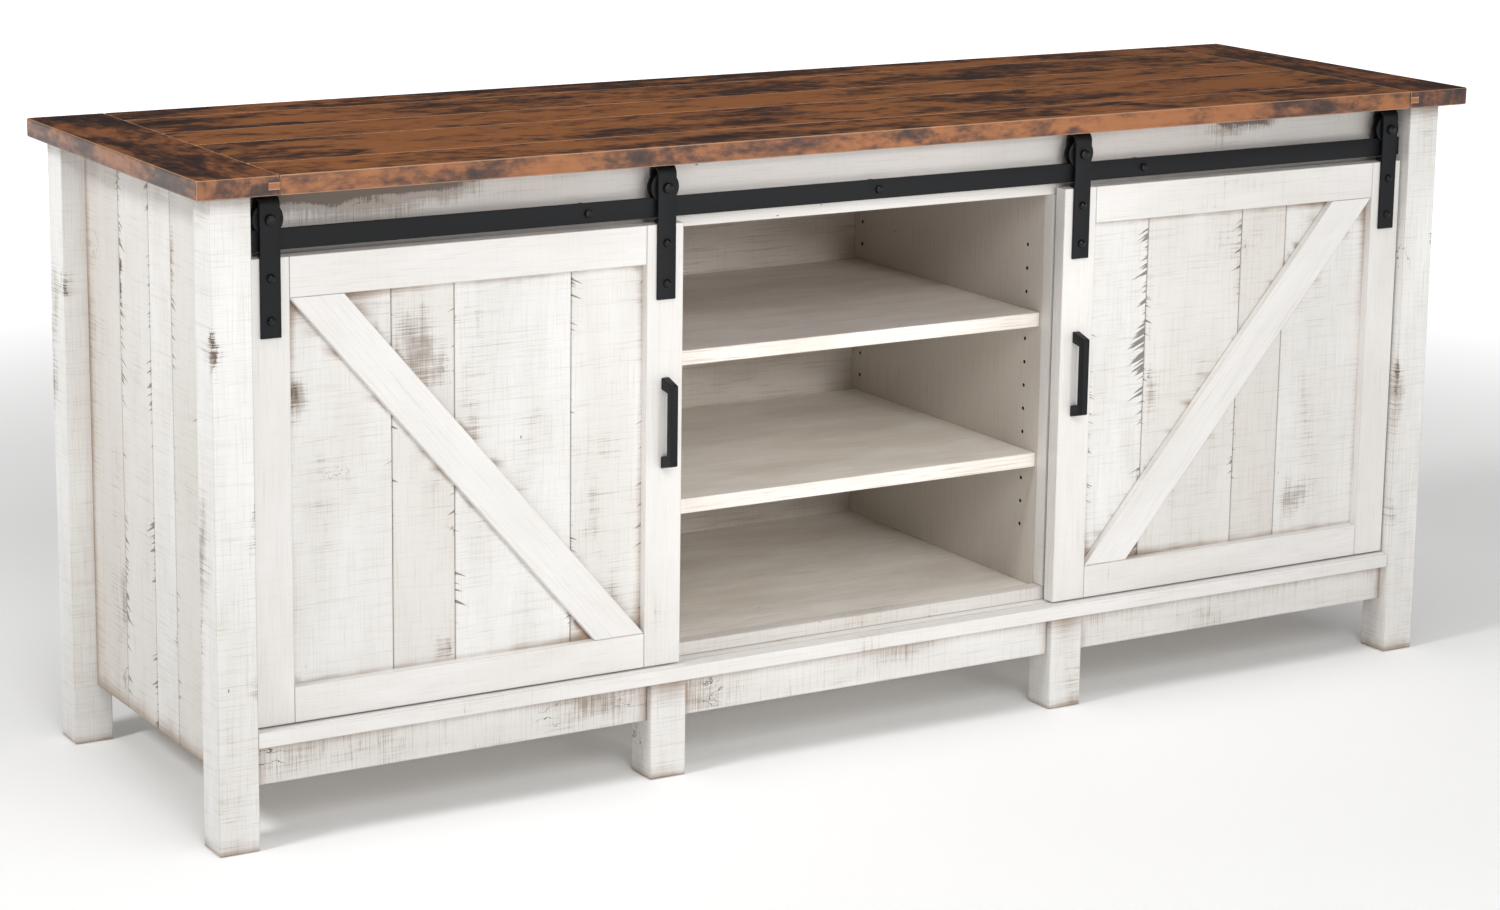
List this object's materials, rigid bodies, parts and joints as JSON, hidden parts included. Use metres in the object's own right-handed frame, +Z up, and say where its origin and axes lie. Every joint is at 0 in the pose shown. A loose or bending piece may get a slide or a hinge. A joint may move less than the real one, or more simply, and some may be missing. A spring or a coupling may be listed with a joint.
{
  "type": "tv stand",
  "caption": "Low cabinet with a planked top, open middle shelves and sliding barn doors that hang from wheels on a flat metal track.",
  "frame": {"origin": "on the floor, under the middle of the top", "axes": "+X to the right as you face the doors, +Y to the back, +Z up"},
  "size_m": [1.88, 0.558, 0.81],
  "materials": {
    "stained_wood": "dark red-brown stain under satin lacquer",
    "painted_wood": "cream paint rubbed through to brown wood, brown glaze",
    "painted_inside": "greige glazed paint on rough boards",
    "black_metal": "satin black powder coat",
    "black_wheel": "satin black, worn bright in the groove"
  },
  "bodies": {
    "cabinet": {"top_plank_1": "stained_wood", "top_plank_2": "stained_wood", "top_plank_3": "stained_wood", "top_plank_4": "stained_wood", "top_plank_5": "stained_wood", "breadboard_left": "stained_wood", "breadboard_right": "stained_wood", "post_front_left": "painted_wood", "post_front_right": "painted_wood", "post_back_left": "painted_wood", "post_back_right": "painted_wood", "leg_front_left": "painted_wood", "leg_front_right": "painted_wood", "leg_back_left": "painted_wood", "leg_back_right": "painted_wood", "side_left": "painted_wood", "side_right": "painted_wood", "frame_header": "painted_wood", "frame_sill": "painted_wood", "frame_stile_left": "painted_wood", "frame_stile_right": "painted_wood", "divider_left": "painted_inside", "divider_right": "painted_inside", "floor_panel": "painted_inside", "back_panel": "painted_inside", "shelf_lower": "painted_inside", "shelf_upper": "painted_inside", "shelf_left": "painted_inside", "shelf_right": "painted_inside", "apron_left": "painted_wood", "apron_centre": "painted_wood", "apron_right": "painted_wood", "ledge": "painted_wood", "track": "black_metal"},
    "left_door": {"left_stile_outer": "painted_wood", "left_stile_inner": "painted_wood", "left_rail_top": "painted_wood", "left_rail_bottom": "painted_wood", "left_panel": "painted_wood", "left_brace": "painted_wood", "left_handle": "black_metal", "left_inner_hanger": "black_metal", "left_outer_hanger": "black_metal", "left_inner_axle": "black_metal", "left_outer_axle": "black_metal"},
    "right_door": {"right_stile_outer": "painted_wood", "right_stile_inner": "painted_wood", "right_rail_top": "painted_wood", "right_rail_bottom": "painted_wood", "right_panel": "painted_wood", "right_brace": "painted_wood", "right_handle": "black_metal", "right_inner_hanger": "black_metal", "right_outer_hanger": "black_metal", "right_inner_axle": "black_metal", "right_outer_axle": "black_metal"},
    "left_inner_roller": {"left_inner_wheel": "black_wheel"},
    "left_outer_roller": {"left_outer_wheel": "black_wheel"},
    "right_inner_roller": {"right_inner_wheel": "black_wheel"},
    "right_outer_roller": {"right_outer_wheel": "black_wheel"}
  },
  "joints": [
    {"name": "left_door_slide", "type": "slide", "parent": "cabinet", "child": "left_door", "axis": [1, 0, 0], "range_m": [0, 0.286]},
    {"name": "right_door_slide", "type": "slide", "parent": "cabinet", "child": "right_door", "axis": [-1, 0, 0], "range_m": [0, 0.286]},
    {"name": "left_inner_spin", "type": "hinge", "parent": "left_door", "child": "left_inner_roller", "pos_m": [-0.313, -0.2313, 0.7525], "axis": [0, 1, 0], "range_deg": [0, 1330]},
    {"name": "left_outer_spin", "type": "hinge", "parent": "left_door", "child": "left_outer_roller", "pos_m": [-0.836, -0.2313, 0.7525], "axis": [0, 1, 0], "range_deg": [0, 1330]},
    {"name": "right_inner_spin", "type": "hinge", "parent": "right_door", "child": "right_inner_roller", "pos_m": [0.313, -0.2313, 0.7525], "axis": [0, -1, 0], "range_deg": [0, 1330]},
    {"name": "right_outer_spin", "type": "hinge", "parent": "right_door", "child": "right_outer_roller", "pos_m": [0.836, -0.2313, 0.7525], "axis": [0, -1, 0], "range_deg": [0, 1330]}
  ],
  "couplings": [
    {"joint": "left_inner_spin", "follows": "left_door_slide", "rad_per_m": 80.645},
    {"joint": "left_outer_spin", "follows": "left_door_slide", "rad_per_m": 80.645},
    {"joint": "right_inner_spin", "follows": "right_door_slide", "rad_per_m": 80.645},
    {"joint": "right_outer_spin", "follows": "right_door_slide", "rad_per_m": 80.645}
  ]
}
